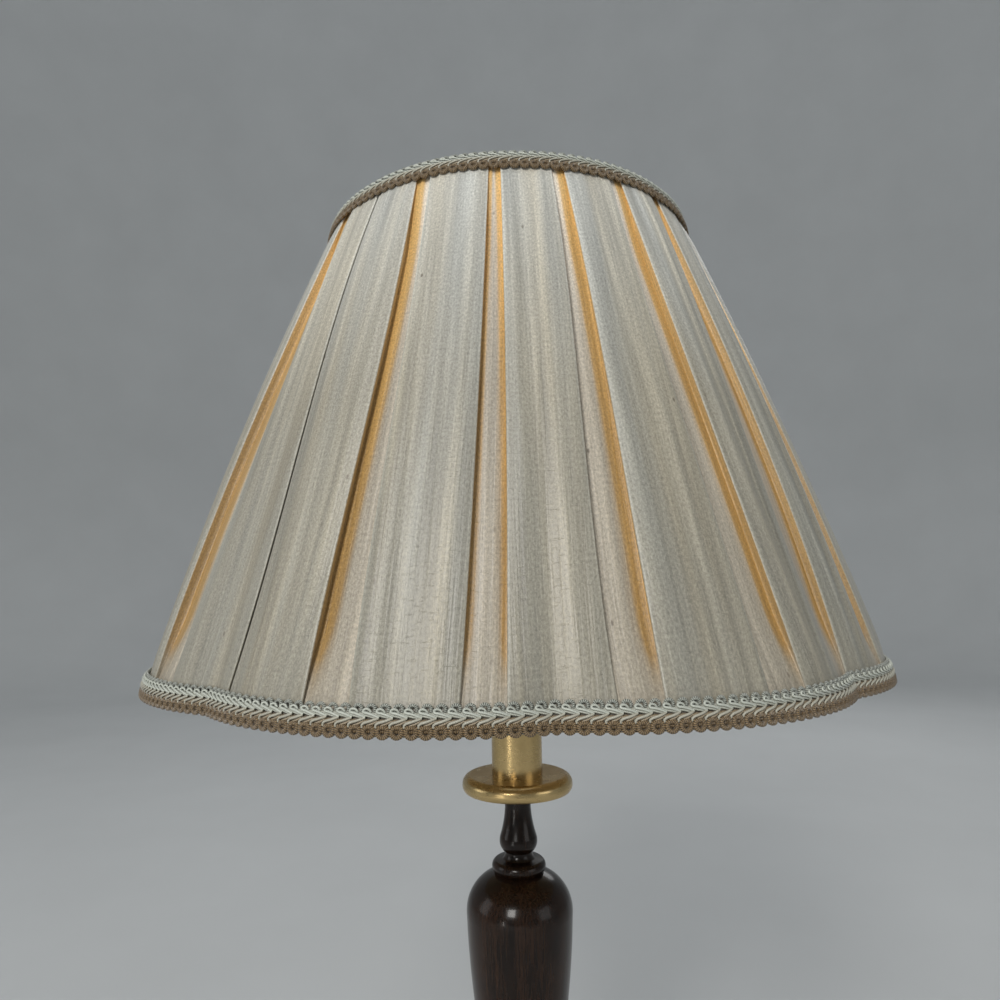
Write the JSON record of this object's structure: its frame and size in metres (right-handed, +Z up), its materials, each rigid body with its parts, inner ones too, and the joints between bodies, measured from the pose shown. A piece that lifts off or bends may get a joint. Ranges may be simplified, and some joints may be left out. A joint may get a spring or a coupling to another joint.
{
  "type": "candlestick lamp",
  "caption": "Table lamp: dark turned candlestick with brass drip pan and candle tube, and a box-pleated silk empire shade with lobed hem and braid trim, carried on a harp.",
  "frame": {"origin": "middle of the felt's underside, on the column's axis", "axes": "+Z up along the column; the front looks along -Y; the harp's legs stand at +X and -X"},
  "size_m": [0.4004, 0.4004, 0.6667],
  "materials": {
    "felt": "felt",
    "dark_wood": "ebonised, french polished",
    "bush": "moulded, semi-gloss",
    "steel": "zinc plated",
    "polished_brass": "polished, slightly aged",
    "brass": "satin",
    "insulating_paper": "pressed fibre",
    "phenolic": "moulded",
    "contact_brass": "bare",
    "bulb_cap": "rolled thread",
    "bulb_glass": "inside frosted",
    "bulb_mount": "glass and wire",
    "frame_wire": "lacquered",
    "shade_silk": "satin-faced slub silk with gold-toned folds",
    "lining_fabric": "plain weave",
    "braid": "wrapped cord gimp"
  },
  "bodies": {
    "base": {"felt_pad": "felt", "foot": "dark_wood", "cord_bush": "bush", "base_washer": "steel", "base_nut": "steel", "threaded_rod": "steel", "column": "dark_wood", "drip_pan": "polished_brass", "tube_seat": "polished_brass", "candle_tube": "polished_brass", "tube_cap": "polished_brass", "harp_saddle": "brass", "socket_cap": "brass", "socket_shell": "brass", "socket_liner": "insulating_paper", "socket_body": "phenolic", "terminal_screws": "steel", "centre_contact": "contact_brass", "screw_shell": "contact_brass"},
    "switch": {"switch_shaft": "brass", "switch_knob": "phenolic"},
    "bulb": {"bulb_cap": "bulb_cap", "bulb_glass": "bulb_glass", "bulb_mount": "bulb_mount"},
    "harp": {"harp": "brass"},
    "sleeve_left": {"harp_sleeve_left": "brass"},
    "sleeve_right": {"harp_sleeve_right": "brass"},
    "swivel": {"harp_swivel": "brass"},
    "finial": {"finial": "polished_brass"},
    "shade": {"shade_cover": "shade_silk", "shade_lining": "lining_fabric", "braid_top": "braid", "braid_bottom": "braid", "shade_ring_top": "frame_wire", "shade_ring_bottom": "frame_wire", "shade_spider": "frame_wire", "shade_rib_1": "frame_wire", "shade_rib_2": "frame_wire", "shade_rib_3": "frame_wire", "shade_rib_4": "frame_wire", "shade_rib_5": "frame_wire", "shade_rib_6": "frame_wire", "shade_rib_7": "frame_wire", "shade_rib_8": "frame_wire"}
  },
  "joints": [
    {"name": "switch_turn", "type": "hinge", "parent": "base", "child": "switch", "pos_m": [0, -0.034, 0.4405], "axis": [0, -1, 0], "continuous": true},
    {"name": "bulb_out", "type": "slide", "parent": "base", "child": "bulb", "axis": [0, 0, 1], "range_m": [0, 0.028]},
    {"name": "harp_lift", "type": "slide", "parent": "base", "child": "harp", "axis": [0, 0, 1], "range_m": [0, 0.03]},
    {"name": "sleeve_left_slide", "type": "slide", "parent": "harp", "child": "sleeve_left", "axis": [0, 0, 1], "range_m": [0, 0.013]},
    {"name": "sleeve_right_slide", "type": "slide", "parent": "harp", "child": "sleeve_right", "axis": [0, 0, 1], "range_m": [0, 0.013]},
    {"name": "shade_turn", "type": "hinge", "parent": "harp", "child": "swivel", "pos_m": [0, 0, 0.63], "axis": [0, 0, 1], "continuous": true},
    {"name": "shade_lift", "type": "slide", "parent": "swivel", "child": "shade", "axis": [0, 0, 1], "range_m": [0, 0.27]},
    {"name": "finial_off", "type": "slide", "parent": "swivel", "child": "finial", "axis": [0, 0, 1], "range_m": [0, 0.3]}
  ],
  "couplings": [
    {"joint": "finial_off", "follows": "shade_lift", "ratio": 1.1}
  ]
}
